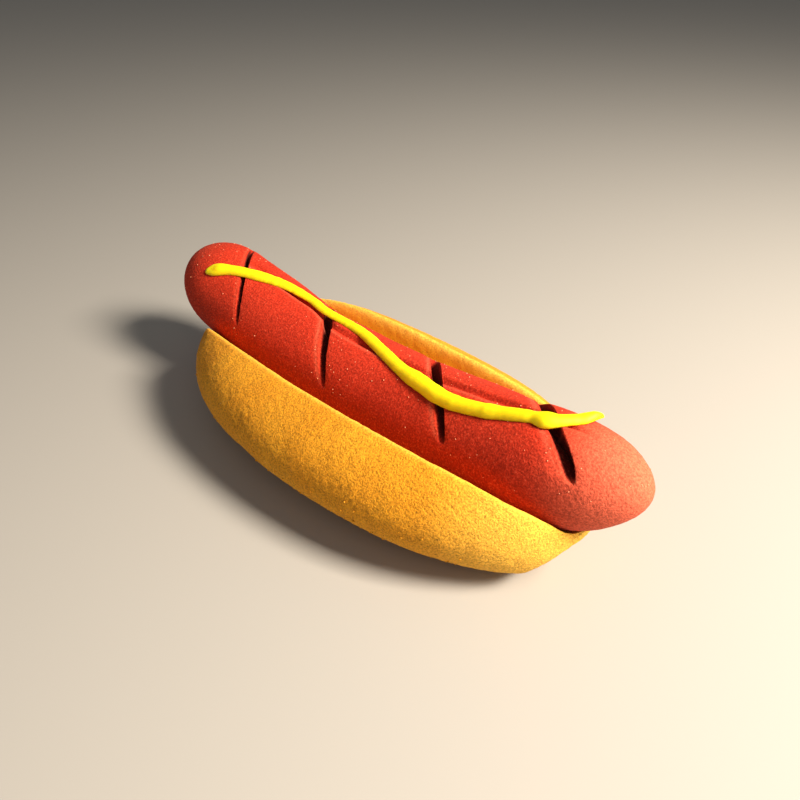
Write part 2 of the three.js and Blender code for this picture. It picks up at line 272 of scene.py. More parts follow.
@dataclass(frozen=True)
class FoamFinish:
    """Open-cell polyurethane foam, dyed through: dull, with a fine grain of dark pores and pale struts."""

    name: str
    deep_colour: str
    body_colour: str
    # The highlight colour is painted highlight, and also the colour of the pale flecks in the grain.
    highlight_and_fleck_colour: str
    # The cut colour is painted shading on cut faces: painted shade in the sausage's slits, painted light on
    # the bun's trough walls.
    cut_painted_shading_colour: str
    grain_size: float
    grain_shades: tuple[float, float]
    bump_height: float
    patch_size: float
    glow: float
    glow_reach: tuple[float, float, float]
    sheen: float
    sheen_colour: str
    pit_spacing: float = 1.2
    pit_shade: float = 1.0
    fleck_share: float = 0.0
    patch_range: tuple[float, float] = (0.32, 0.66)
    grain_range: tuple[float, float] = (0.33, 0.62)
    pit_range: tuple[float, float] = (0.08, 0.26)
    fleck_range: tuple[float, float] = (0.58, 0.72)
    cut_shade: float = 0.85
    cut_relief: float = 0.4
    roughness: float = 0.92
    specular: float = 0.18

    def material(self) -> bpy.types.Material:
        """Builds the material.

        Returns:
            A Principled material on Object coordinates: slow patches from deep to body colour, the cut colour
            on cut faces (painted shade on the sausage, painted light on the bun's trough walls), the
            highlight colour as painted highlight, a fine grain that darkens the pores and lightens the
            struts, larger dark pits, pale flecks at the grain's peaks, and bump from the grain. Grain, pits
            and bump are weaker on cut faces, which lightens them a little.
        """
        material = bpy.data.materials.new(self.name)
        material.use_nodes = True
        tree = material.node_tree
        tree.nodes.clear()
        place = add_node(tree, "ShaderNodeTexCoord").outputs["Object"]
        patches = add_node(tree, "ShaderNodeTexNoise", inputs={
            "Vector": place, "Scale": 1 / (self.patch_size * MM), "Detail": 3.0, "Roughness": 0.55})
        grain = add_node(tree, "ShaderNodeTexNoise", inputs={
            "Vector": place, "Scale": 1 / (self.grain_size * MM), "Detail": 3.0, "Roughness": 0.65})
        colour = self._patch_colour(tree, patches.outputs["Fac"])
        cut = add_node(tree, "ShaderNodeAttribute", {"attribute_name": "cut"}).outputs["Fac"]
        painted_highlight = add_node(tree, "ShaderNodeAttribute", {"attribute_name": "painted_highlight"}).outputs["Fac"]
        # Painted shading: the cut colour and the highlight colour stand in for light and shade on the piece.
        for share, tint in ((cut, self.cut_painted_shading_colour), (painted_highlight, self.highlight_and_fleck_colour)):
            colour = add_node(tree, "ShaderNodeMix", {"data_type": "RGBA"}, {
                0: share, 6: colour, 7: linear(tint)}).outputs[2]
        darkest, deepest = (add_node(tree, "ShaderNodeMapRange", inputs={
            "Value": cut, "To Min": low, "To Max": self.cut_shade}).outputs["Result"]
            for low in (self.grain_shades[0], self.pit_shade))
        shade = add_node(tree, "ShaderNodeMapRange", {"interpolation_type": "SMOOTHSTEP"}, {
            "Value": grain.outputs["Fac"], "From Min": self.grain_range[0],
            "From Max": self.grain_range[1], "To Min": darkest, "To Max": self.grain_shades[1]})
        pits = add_node(tree, "ShaderNodeTexVoronoi", inputs={
            "Vector": place, "Scale": 1 / (self.pit_spacing * MM)})
        pit = add_node(tree, "ShaderNodeMapRange", {"interpolation_type": "SMOOTHSTEP"}, {
            "Value": pits.outputs["Distance"], "From Min": self.pit_range[0],
            "From Max": self.pit_range[1], "To Min": deepest, "To Max": 1.0})
        value = add_node(tree, "ShaderNodeMath", {"operation": "MULTIPLY"}, {
            0: shade.outputs["Result"], 1: pit.outputs["Result"]})
        colour = add_node(tree, "ShaderNodeHueSaturation", inputs={
            "Value": value.outputs["Value"], "Color": colour}).outputs["Color"]
        fleck = add_node(tree, "ShaderNodeMapRange", inputs={
            "Value": grain.outputs["Fac"], "From Min": self.fleck_range[0],
            "From Max": self.fleck_range[1], "To Max": self.fleck_share})
        colour = add_node(tree, "ShaderNodeMix", {"data_type": "RGBA"}, {
            0: fleck.outputs["Result"], 6: colour, 7: linear(self.highlight_and_fleck_colour)}).outputs[2]
        strength = add_node(tree, "ShaderNodeMapRange", inputs={
            "Value": cut, "To Min": 1.0, "To Max": self.cut_relief})
        bump = add_node(tree, "ShaderNodeBump", inputs={
            "Height": grain.outputs["Fac"], "Distance": self.bump_height * MM,
            "Strength": strength.outputs["Result"]})
        shader = add_node(tree, "ShaderNodeBsdfPrincipled", inputs={
            "Base Color": colour, "Roughness": self.roughness,
            "Specular IOR Level": self.specular, "Subsurface Weight": self.glow,
            "Subsurface Radius": self.glow_reach, "Subsurface Scale": MM,
            "Sheen Weight": self.sheen, "Sheen Roughness": 0.5,
            "Sheen Tint": linear(self.sheen_colour), "Normal": bump.outputs["Normal"]})
        add_node(tree, "ShaderNodeOutputMaterial", inputs={"Surface": shader.outputs["BSDF"]})
        return material

    def _patch_colour(self, tree: bpy.types.NodeTree, factor: bpy.types.NodeSocket) -> bpy.types.NodeSocket:
        """Adds the ramp from the deep to the body colour.

        Args:
            tree: the material's node tree.
            factor: the slow noise that the patches follow.

        Returns:
            The ramp's colour.
        """
        ramp = add_node(tree, "ShaderNodeValToRGB", inputs={"Fac": factor})
        for index, colour in enumerate((self.deep_colour, self.body_colour)):
            ramp.color_ramp.elements[index].position = self.patch_range[index]
            ramp.color_ramp.elements[index].color = linear(colour)
        return ramp.outputs["Color"]


@dataclass(frozen=True)
class PasteFinish:
    """Thick acrylic paste, squeezed on and set: a smooth satin skin over a pure bright colour."""

    name: str
    colour: str
    shade_colour: str
    wave_size: float
    wave_height: float
    glow: float
    glow_reach: tuple[float, float, float] = (1.6, 1.3, 0.2)
    streak_range: tuple[float, float] = (0.35, 0.6)
    roughness: float = 0.6
    ior: float = 1.42

    def material(self) -> bpy.types.Material:
        """Builds the material.

        Returns:
            A Principled material: the two colours in slow streaks, low waves as bump, and a
            little light that passes through the bead.
        """
        material = bpy.data.materials.new(self.name)
        material.use_nodes = True
        tree = material.node_tree
        tree.nodes.clear()
        place = add_node(tree, "ShaderNodeTexCoord").outputs["Object"]
        waves = add_node(tree, "ShaderNodeTexNoise", inputs={
            "Vector": place, "Scale": 1 / (self.wave_size * MM), "Detail": 2.0})
        share = add_node(tree, "ShaderNodeMapRange", inputs={
            "Value": waves.outputs["Fac"], "From Min": self.streak_range[0],
            "From Max": self.streak_range[1]})
        colour = add_node(tree, "ShaderNodeMix", {"data_type": "RGBA"}, {
            0: share.outputs["Result"], 6: linear(self.shade_colour), 7: linear(self.colour)})
        bump = add_node(tree, "ShaderNodeBump", inputs={
            "Height": waves.outputs["Fac"], "Distance": self.wave_height * MM, "Strength": 1.0})
        shader = add_node(tree, "ShaderNodeBsdfPrincipled", inputs={
            "Base Color": colour.outputs[2], "Roughness": self.roughness, "IOR": self.ior,
            "Subsurface Weight": self.glow, "Subsurface Radius": self.glow_reach,
            "Subsurface Scale": MM, "Normal": bump.outputs["Normal"]})
        add_node(tree, "ShaderNodeOutputMaterial", inputs={"Surface": shader.outputs["BSDF"]})
        return material


# Upholstery foam, skinned in a mould: a sandy crust that shows its grain in slanting light; its bright cut
# colour is painted light on the trough walls, and its highlight colour painted highlight on the lips and the
# right end
BUN_FOAM = FoamFinish(
    name="bun_sponge_golden", deep_colour="D88E1C", body_colour="E29C24", highlight_and_fleck_colour="FFD25C",
    cut_painted_shading_colour="FFC41E", grain_size=0.44, grain_shades=(0.62, 1.16), bump_height=0.32,
    patch_size=14.0, glow=0.12, glow_reach=(1.6, 1.0, 0.3), sheen=0.05, sheen_colour="FFE6B0",
    pit_spacing=1.4, pit_shade=0.68)

# The same foam with finer cells, dyed brick red and dull; its near-black cut colour is painted shade down in
# its slits
SAUSAGE_FOAM = FoamFinish(
    name="sausage_sponge_brick_red", deep_colour="B42A14", body_colour="BE3018", highlight_and_fleck_colour="EE8060",
    cut_painted_shading_colour="5A1009", grain_size=0.5, grain_shades=(0.68, 1.2), bump_height=0.22,
    patch_size=18.0, glow=0.03, glow_reach=(1.2, 0.4, 0.2), sheen=0.03, sheen_colour="FFC0A0",
    fleck_share=0.3)

# Dust of the bun's foam, paler than the bun because each grain is lit from all round
PALE_FOAM = FoamFinish(
    name="sponge_dust_pale", deep_colour="E89870", body_colour="F4AC88", highlight_and_fleck_colour="F8C0A0",
    cut_painted_shading_colour="E89870", grain_size=0.3, grain_shades=(0.9, 1.1), bump_height=0.05,
    patch_size=6.0, glow=0.1, glow_reach=(1.0, 0.6, 0.3), sheen=0.0, sheen_colour="FFFFFF")

# Acrylic paste that dried with a satin skin: a pure yellow with hardly a highlight
MUSTARD_PASTE = PasteFinish(
    name="mustard_acrylic_paste", colour="FFE000", shade_colour="FAD800", wave_size=2.4,
    wave_height=0.08, glow=0.8)


def give(piece: bpy.types.Object, material: bpy.types.Material, node: str) -> None:
    """Finishes a piece: its material, its body, and the imported node it stands for, which it hides."""
    piece.data.materials.append(material)
    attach(piece, "root")
    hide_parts(node)


@dataclass(frozen=True)
class Slit:
    """One slanting cut in the sausage, bowed along it by about a millimetre at one angle.

    Its place is where it crosses the crest, near, far and bow_angle are in degrees, and taper is
    the power of its share of depth by which it narrows towards its two ends.
    """

    at: float
    width: float
    depth: float
    near: float
    far: float
    taper: float = 0.4
    bow: float = 0.0
    bow_angle: float = 0.0

    def share(self, angle: np.ndarray) -> np.ndarray:
        """The share of its full depth that the slit has at an angle.

        Args:
            angle: angle round the sausage, in radians.

        Returns:
            A straight blade's chord: 1 - cos(reach) / cos(angle off the middle), scaled to 1.
        """
        near, far = math.radians(self.near), math.radians(self.far)
        reach = (far - near) / 2
        off = np.clip(np.abs(angle - (near + far) / 2), 0, reach)
        return (1 - math.cos(reach) / np.cos(off)) / (1 - math.cos(reach))


@dataclass(frozen=True)
class Press:
    """A place where the foam is pressed in (or swells, if the depth is negative)."""

    at: float
    angle: float
    depth: float
    reach: float
    spread: float


@dataclass
class Sausage:
    """The sausage: a round bar bent along an arc, with slits, a furrow and foam grain. Millimetres."""

    length: float = 165.0
    radius: float = 13.7
    rise_angle: float = math.radians(16.9)
    y: float = 3.0
    axis_height: float = 19.2
    left_end: tuple[float, float] = (19.7, 1.9)
    right_end: tuple[float, float] = (27.5, 1.85)
    slant: float = math.radians(46)
    slits: tuple[Slit, ...] = (
        Slit(-57.0, 2.3, 4.2, -71, 46), Slit(-17.6, 3.5, 5.2, -74, 46, 0.55, -0.9, -42),
        Slit(24.8, 3.3, 5.4, -69, 46), Slit(59.0, 4.2, 5.0, -67, 48, 0.65, -1.2, -66))
    slit_edge: float = 0.3
    slit_depth_power: float = 0.8
    wedge_reach: float = 1.05
    left_shoulder: tuple[float, float] = (0.12, 2.1)
    right_shoulder: tuple[float, float] = (0.05, 1.3)
    face_edge: float = 0.35
    # Painted highlight on each slit's left lip: its place and spread.
    lip_highlight: tuple[float, float] = (1.8, 0.5)
    broad_slit: float = 3.3
    bow_reach: float = 7.0
    bow_spread: float = math.radians(22)
    lean_ends_at: float = 61.0
    presses: tuple[Press, ...] = (
        Press(57.0, math.radians(65), 2.0, 13.0, math.radians(42)),
        Press(-22.0, math.radians(58), 0.9, 11.0, math.radians(30)),
        Press(-45.0, math.radians(42), -0.6, 12.0, math.radians(26)))
    furrow_angles: tuple[float, float] = (math.radians(6), math.radians(-6.5))
    furrow_bend: tuple[float, float] = (-27.0, -10.0)
    furrow_depth: float = 1.4
    furrow_half_width: float = 1.35
    furrow_span: tuple[float, float, float] = (-60.0, 73.0, 10.0)
    furrow_sharpness: float = 9.0
    furrow_foot: float = 0.12
    # Painted highlight along the furrow's near rim: its place and spread.
    rim_highlight: tuple[float, float] = (1.25, 0.3)
    row_step: float = 0.55
    slit_row_step: float = 0.16
    slit_window: float = 3.2
    end_rows_share: float = 1.4
    columns: int = 216
    crowding: float = 0.45
    deepest_share: float = 0.75
    # Painted highlight: the right end turns towards the highlight colour, and so do the slits' left lips and
    # the furrow's near rim.
    end_highlight_from: float = 60.0
    end_highlight_reach: float = 20.0
    end_highlight_share: float = 0.5
    lip_highlight_share: float = 0.22
    rim_highlight_share: float = 0.2
    grain: tuple[float, float] = (0.05, 0.8)
    dents: tuple[float, float] = (0.16, 9.0)
    calm_tips: tuple[float, float] = (0.02, 0.2)
    specks_off_cuts: float = 0.1

    @property
    def bend_radius(self) -> float:
        """The radius of the arc that the middle line follows."""
        return self.length / 2 / self.rise_angle

    def end_radius(self, along: np.ndarray) -> np.ndarray:
        """The radius at places along: full in the barrel, r (1 - t^p)^(1/p) over each end."""
        half = self.length / 2
        reach = np.where(along < 0, self.left_end[0], self.right_end[0])
        power = np.where(along < 0, self.left_end[1], self.right_end[1])
        past = np.clip((np.abs(along) - (half - reach)) / reach, 0, 1)
        return self.radius * (1 - past ** power) ** (1 / power)

    def pressed_radius(self, along: np.ndarray, angle: np.ndarray) -> np.ndarray:
        """The radius less the pressed places, each a bell curve along and around, fading at the tips."""
        radius = self.end_radius(along)
        full = np.minimum(radius / self.radius, 1)
        for press in self.presses:
            bell = ((along - press.at) / press.reach) ** 2 + ((angle - press.angle) / press.spread) ** 2
            radius = radius - press.depth * full * np.exp(-bell)
        return radius

    def beside(self, along: np.ndarray, angle: np.ndarray, radius: np.ndarray) -> np.ndarray:
        """Points at a radius from the middle line, at an angle round it from straight up.

        Args:
            along: place along the arc, from its middle.
            angle: angle from up towards +Y.
            radius: distance from the middle line.

        Returns:
            Points: the arc's own polar place, with the radius split into up and sideways.
        """
        turn = along / self.bend_radius
        inward = self.bend_radius - radius * np.cos(angle)
        return np.stack([
            np.sin(turn) * inward,
            self.y + radius * np.sin(angle),
            self.axis_height + self.bend_radius - np.cos(turn) * inward,
        ], axis=-1)

    def surface(self, along: np.ndarray, angle: np.ndarray) -> np.ndarray:
        """The surface without slits, furrow or grain."""
        return self.beside(along, angle, self.pressed_radius(along, angle))

    def outward(self, along: np.ndarray, angle: np.ndarray) -> np.ndarray:
        """Unit normals of that surface, from small steps along it and around it."""
        step = 0.01
        lengthways = self.surface(along + step, angle) - self.surface(along - step, angle)
        around = self.surface(along, angle + step) - self.surface(along, angle - step)
        across = np.cross(lengthways, around)
        return across / np.linalg.norm(across, axis=-1, keepdims=True)

    def lean(self, row: np.ndarray, angle: np.ndarray) -> np.ndarray:
        """How far a row is carried along the sausage.

        Args:
            row: where the row crosses the crest.
            angle: angle round the sausage.

        Returns:
            -r sin(angle) tan(slant), fading at the tips, plus each slit's bow as a bell curve.
        """
        half = self.length / 2
        fade = np.clip((half - np.abs(row)) / (half - self.lean_ends_at), 0, 1)
        total = -self.radius * np.sin(angle) * math.tan(self.slant) * fade
        for slit in self.slits:
            off = ((row - slit.at) / self.bow_reach) ** 2
            turn = ((angle - math.radians(slit.bow_angle)) / self.bow_spread) ** 2
            total = total + slit.bow * np.exp(-off - turn)
        return total

    def cuts(self, row: np.ndarray, angle: np.ndarray) -> tuple[np.ndarray, np.ndarray, np.ndarray]:
        """How far the slits reach in: a steep V with rounded shoulders, in each slit's own share.

        Args:
            row: the slanting row's place where it crosses the crest.
            angle: angle round the sausage.

        Returns:
            Depths, how much of each point is a cut face, and how much a painted highlight on the left lip.
        """
        total = np.zeros(np.broadcast(row, angle).shape)
        faces, lip_highlights = np.zeros_like(total), np.zeros_like(total)
        for slit in self.slits:
            share = slit.share(angle)
            half = self.slit_edge + (slit.width / 2 - self.slit_edge) * share ** slit.taper
            off = (row - slit.at) / half
            wedge = np.clip(self.wedge_reach - np.abs(off), 0, 1) ** 0.5
            left, right = (height * np.exp(-((off / reach) ** 2))
                           for height, reach in (self.left_shoulder, self.right_shoulder))
            shoulder = slit.width * np.where(off < 0, left, right)
            present = np.minimum(3 * share, 1)
            total += slit.depth * share ** self.slit_depth_power * wedge + shoulder * present
            # Cut faces take the sausage's near-black cut colour, a painted shade for the deep slits.
            faces = np.maximum(faces, smooth(wedge, 0.0, self.face_edge) * present)
            broad = min(slit.width / self.broad_slit, 1) ** 2
            place, spread = self.lip_highlight
            lip_highlights = np.maximum(lip_highlights, np.exp(-(((off + place) / spread) ** 2)) * present * broad)
        return total, faces, lip_highlights

    def furrow_angle(self, along: np.ndarray) -> np.ndarray:
        """The angle of the furrow's bottom: it bends from the crest's far side to its near side."""
        first, last = self.furrow_angles
        return first + (last - first) * smooth(along, *self.furrow_bend)

    def furrow(self, along: np.ndarray, angle: np.ndarray) -> tuple[np.ndarray, np.ndarray]:
        """The furrow's depth and the painted highlight on its near rim.

        Args:
            along: place along the middle line.
            angle: angle round the sausage.

        Returns:
            Depths of a V with a rounded foot and rims, fading out near its two ends, and a painted highlight
            from 0 to 1 in a bell curve along the near rim.
        """
        across = self.radius * (angle - self.furrow_angle(along)) / self.furrow_half_width
        start, end, fade = self.furrow_span
        ends = smooth(np.minimum(along - start, end - along) / fade, 0, 1)
        place, spread = self.rim_highlight
        rim_painted_highlight = np.exp(-(((across + place) / spread) ** 2)) * ends
        sharp = self.furrow_sharpness
        valley = np.log1p(np.exp(sharp * (1 - np.hypot(across, self.furrow_foot)))) / sharp
        return self.furrow_depth * valley * ends, rim_painted_highlight

    def rows(self) -> np.ndarray:
        """Places of the rows.

        Returns:
            Even steps along the barrel, finer ones beside the slits, and steps of sin(t) that
            crowd towards both tips.
        """
        half = self.length / 2
        window = self.slit_window
        edges = [half - reach for reach in (self.left_end[0], self.right_end[0])]
        barrel = np.arange(-edges[0], edges[1], self.row_step)
        for slit in self.slits:
            barrel = barrel[np.abs(barrel - slit.at) > window]
        close = [np.arange(slit.at - window, slit.at + window + 1e-6, self.slit_row_step)
                 for slit in self.slits]
        ends = []
        for sign, edge, reach in ((-1, edges[0], self.left_end[0]), (1, edges[1], self.right_end[0])):
            count = int(self.end_rows_share * reach / self.row_step)
            turn = np.linspace(0, np.pi / 2, count + 1)[1:-1]
            ends.append(sign * (edge + reach * np.sin(turn)))
        right_clear = ends[1][np.abs(ends[1] - self.slits[3].at) > window]
        places = np.unique(np.concatenate([barrel, *close, ends[0], right_clear]))
        return places[np.diff(places, prepend=-half) > self.slit_row_step / 2]

    def skin(self) -> Skin:
        """The whole surface, with slits, furrow, grain and small dents.

        Returns:
            Rings that lean with the slits, so that every slit runs along one row.
        """
        row = self.rows()[:, None]
        step = np.linspace(-np.pi, np.pi, self.columns, endpoint=False)[None]
        angle = self.furrow_angle(row) + step - self.crowding * np.sin(step)
        along = row + self.lean(row, angle)
        furrow, rim = self.furrow(along, angle)
        radius = self.pressed_radius(along, angle) - furrow
        cut, faces, lip_highlights = self.cuts(row, angle)
        half = self.length / 2
        tips = [self.beside(np.array(sign * half), np.array(0.0), np.array(0.0)) for sign in (-1, 1)]
        # Painted highlight on the right end, the slits' left lips and the furrow's near rim.
        end_highlight = smooth(along, self.end_highlight_from, self.end_highlight_from + self.end_highlight_reach) * (1 - faces)
        edges = np.maximum(self.lip_highlight_share * lip_highlights, self.rim_highlight_share * rim)
        kept = radius - np.minimum(cut, self.deepest_share * radius)
        bare = Skin(self.beside(along, angle, kept), tips[0], tips[1],
                    painted_highlight=np.maximum(self.end_highlight_share * end_highlight, edges), cut=faces)
        grain = self.grain[0] * noise(bare.rings, self.grain[1], Seed.SAUSAGE_GRAIN)
        dents = self.dents[0] * noise(bare.rings, self.dents[1], Seed.SAUSAGE_DENTS)
        calm = smooth(radius / self.radius, *self.calm_tips)
        return bare.pushed((grain + dents) * calm)

    def speck_spots(self, skin: Skin) -> np.ndarray:
        """Which points may carry a speck: those that face up and aren't down in a cut."""
        return (skin.normals()[..., 2] > 0.0) & (skin.cut < self.specks_off_cuts)

    def build(self, skin: Skin) -> bpy.types.Object:
        """Builds and dresses the sausage from its skin."""
        piece = skin.build("sausage_foam")
        give(piece, SAUSAGE_FOAM.material(), "sausage")
        return piece


@dataclass
class Bun:
    """The bun: an oval loaf with an open trough that follows the sausage. Millimetres."""

    sausage: Sausage
    middle_x: float = 3.9
    half_lengths: tuple[float, float] = (63.0, 66.0)
    half_width: float = 33.7
    widest_height: float = 15.45
    belly: float = 15.95
    crown: float = 16.95
    crown_lean: float = 0.5
    plan_powers: tuple[float, float] = (2.3, 2.16)
    side_powers: tuple[float, float] = (4.2, 4.6)
    trim_start_x: float = 60.6
    trim_slope: float = 1.39
    trim_side_slope: float = 0.1
    trim_rounding: float = 2.0
    trough_gap: float = 0.5
    wall_slopes: dict[Side, float] = field(default_factory=lambda: {Side.NEAR: 1.6, Side.FAR: 2.9})
    lip_rounding: float = 3.0
    # Painted highlight: the lips take the highlight colour, more on the far lip, and so does the right end.
    lip_highlight_width: float = 0.9
    lip_highlight_shares: tuple[float, float] = (0.3, 0.75)
    end_highlight_from: float = 42.0
    end_highlight_reach: float = 24.0
    end_highlight_share: float = 0.45
    # Painted light: the trough walls take the bright cut colour, fully on the far wall and at this share on
    # the near wall.
    near_wall_painted_light: float = 0.3
    cut_band: tuple[float, float] = (-1.2, 0.6)
    cut_blend: float = 4.0
    # Painted shade: the sausage's side down in the gap beside the bun is darkened towards its cut colour.
    shelter_depth: float = 6.5
    shelter_ends: tuple[float, float] = (0.9, 0.999)
    painted_gap_shade: float = 0.45
    lumps: tuple[tuple[float, float], ...] = ((0.25, 12.0), (0.08, 4.0))
    pore_depth: float = 0.06
    pore_spacing: float = 1.3
    pore_rim: tuple[float, float] = (0.1, 0.6)
    grain: tuple[float, float] = (0.08, 1.0)
    fine_grain: tuple[float, float] = (0.03, 0.55)
    calm_height: float = 1.2
    calm_share: float = 0.004
    calm_cut: float = 0.5
    crumbs_facing: float = 0.1
    crumbs_above: float = 1.0
    crumbs_until_x: float = 58.0
    lip_half: float = 1.6
    end_span: float = 0.173
    middle_rows: int = 250
    end_rows: int = 14
    side_columns: int = 56
    lip_columns: int = 22
    trough_columns: int = 84
    belly_columns: int = 110

    def place(self, share: np.ndarray) -> np.ndarray:
        """X at a share of the bun's half length, from -1 to 1."""
        return self.middle_x + share * np.where(share < 0, self.half_lengths[0], self.half_lengths[1])

    def taper(self, share: np.ndarray, powers: tuple[float, float]) -> np.ndarray:
        """What is left of the loaf's width or height at a share of its half length."""
        power = np.where(share < 0, powers[0], powers[1])
        return np.maximum(1 - np.abs(share) ** power, 0) ** (1 / power)

    def width(self, share: np.ndarray) -> np.ndarray:
        """Half the loaf's width at a share of its half length."""
        return self.half_width * self.taper(share, self.plan_powers)

    def outer(self, share: np.ndarray, y: np.ndarray, bulge: float, lean: float = 0.0) -> np.ndarray:
        """Height of the loaf's outside.

        Args:
            share: place along the bun, from -1 to 1.
            y: place across.
            bulge: height of the middle above the widest line, or below it if negative.
            lean: how much more the bulge is at the near edge.

        Returns:
            Heights: an ellipse in each slice, sqrt(1 - (y / width)^2) of the bulge.
        """
        across = np.clip(y / self.width(share), -1, 1)
        tall = (bulge - lean * across) * self.taper(share, self.side_powers)
        return self.widest_height + tall * np.sqrt(1 - across * across)

    def trough(self, share: np.ndarray, y: np.ndarray) -> np.ndarray:
        """Height of the trough: the sausage's underside with a gap, then walls that lean out.

        Args:
            share: place along the bun, from -1 to 1.
            y: place across.

        Returns:
            Heights: a circle swept round the bend until its slope is the wall's, then a line.
        """
        x = self.place(share)
        bend = self.sausage.bend_radius
        turn = np.arcsin(x / (bend + self.sausage.radius))
        radius = self.sausage.end_radius(bend * turn) + self.trough_gap
        across = np.abs(y - self.sausage.y)
        slope = np.where(y < self.sausage.y, self.wall_slopes[Side.NEAR], self.wall_slopes[Side.FAR])
        touch = radius * slope / np.hypot(1, slope)
        curved = np.minimum(across, touch)
        reach = bend + np.sqrt(radius * radius - curved * curved)
        floor = self.sausage.axis_height + bend - np.sqrt(reach * reach - x * x)
        return floor + (across - curved) * slope

    def top(self, share: np.ndarray, y: np.ndarray) -> np.ndarray:
        """Height of the upper surface: the lower of outside and trough, with a rounded lip."""
        outside = self.outer(share, y, self.crown, self.crown_lean)
        return rounded_min(outside, self.trough(share, y), self.lip_rounding)

    def bottom(self, share: np.ndarray, y: np.ndarray) -> np.ndarray:
        """Height of the underside.

        Args:
            share: place along the bun, from -1 to 1.
            y: place across.

        Returns:
            Heights: the loaf's outside, trimmed on the slant at the right end, and flat at 0.
        """
        trim = self.trim_slope * (self.place(share) - self.trim_start_x) - self.trim_side_slope * y
        outside = self.outer(share, y, -self.belly)
        return np.maximum(-rounded_min(-outside, -trim, self.trim_rounding), 0)

    def lip(self, share: np.ndarray, side: Side) -> np.ndarray:
        """Where the trough's wall meets the outside.

        Args:
            share: place along the bun, from -1 to 1.
            side: which wall.

        Returns:
            Y of the meeting, found by halving the distance forty times.
        """
        width = self.width(share)
        inner = np.minimum(self.sausage.y, width)
        outer = side.value * width
        for _ in range(40):
            middle = (inner + outer) / 2
            inside = self.outer(share, middle, self.crown, self.crown_lean) > self.trough(share, middle)
            inner, outer = np.where(inside, middle, inner), np.where(inside, outer, middle)
        return inner

    def sheltered(self, points: np.ndarray) -> np.ndarray:
        """How deep points lie in the gap between the sausage and the bun's walls, for the painted shade
        there.

        Args:
            points: places, three numbers to a point.

        Returns:
            0 at the height of the lip beside each point and above it, rising to 1 at the
            shelter's depth below it, and 0 past the bun's two ends.
        """
        x, y, z = points[..., 0], points[..., 1], points[..., 2]
        off = x - self.middle_x
        end = self.shelter_ends[1]
        share = np.clip(off / np.where(off < 0, *self.half_lengths), -end, end)
        depth = np.zeros(share.shape)
        for side in Side:
            below = self.top(share, self.lip(share, side)) - z
            beside = (y - self.sausage.y) * side.value > 0
            depth = np.where(beside, smooth(below, 0.0, self.shelter_depth), depth)
        return depth * (1 - smooth(np.abs(share), *self.shelter_ends))

    def shares(self) -> np.ndarray:
        """Places of the rings.

        Returns:
            Even places in the middle, and 1 - t^2 over the last three hundredths at each end.
        """
        steps = np.linspace(0, self.end_span, self.end_rows + 1)[1:]
        end = 1 - steps[::-1] ** 2
        middle = np.linspace(-end[0], end[0], self.middle_rows + 2)[1:-1]
        return np.concatenate([-end[::-1], middle, end])

    def across(self, share: np.ndarray) -> tuple[np.ndarray, np.ndarray]:
        """Places across of the columns.

        Args:
            share: the rings' places, one to a row.

        Returns:
            Y of the points over the top, from near to far, and underneath, from far to near.
        """
        width = self.width(share)
        near, far = self.lip(share, Side.NEAR), self.lip(share, Side.FAR)
        spare = np.minimum(np.minimum(width + near, width - far), (far - near) / 2)
        soft = np.minimum(self.lip_half, spare / 2)
        arc = np.sin(np.linspace(0, np.pi / 2, self.side_columns + 1))[None]
        lip = np.linspace(-1, 1, self.lip_columns, endpoint=False)[None]
        floor = 0.5 - 0.5 * np.cos(np.linspace(0, np.pi, self.trough_columns, endpoint=False))[None]
        over = [
            near - soft - (width + near - soft) * arc[:, :0:-1],
            near + soft * lip,
            near + soft + (far - near - 2 * soft) * floor,
            far + soft * lip,
            far + soft + (width - far - soft) * arc,
        ]
        under = width * np.cos(np.linspace(0, np.pi, self.belly_columns + 1)[1:-1])[None]
        return np.concatenate(over, axis=1), under

    def skin(self) -> Skin:
        """The whole surface, with lumps, pores and grain.

        Returns:
            One ring for each slice: over the top from near to far, then back underneath.
        """
        share = self.shares()[:, None]
        y_over, y_under = self.across(share)
        z_over = self.top(share, y_over)
        z_under = self.bottom(share, y_under)
        y = np.concatenate([y_over, y_under], axis=1)
        z = np.concatenate([z_over, z_under], axis=1)
        x = np.broadcast_to(self.place(share), y.shape)
        rings = np.stack([x, y, z], axis=-1)
        tips = [np.array([float(self.place(np.array(s))), 0, self.widest_height]) for s in (-1.0, 1.0)]
        near, far = self.lip(share, Side.NEAR), self.lip(share, Side.FAR)
        inside = np.minimum(y - near, far - y)
        over = np.arange(y.shape[1])[None] < y_over.shape[1]
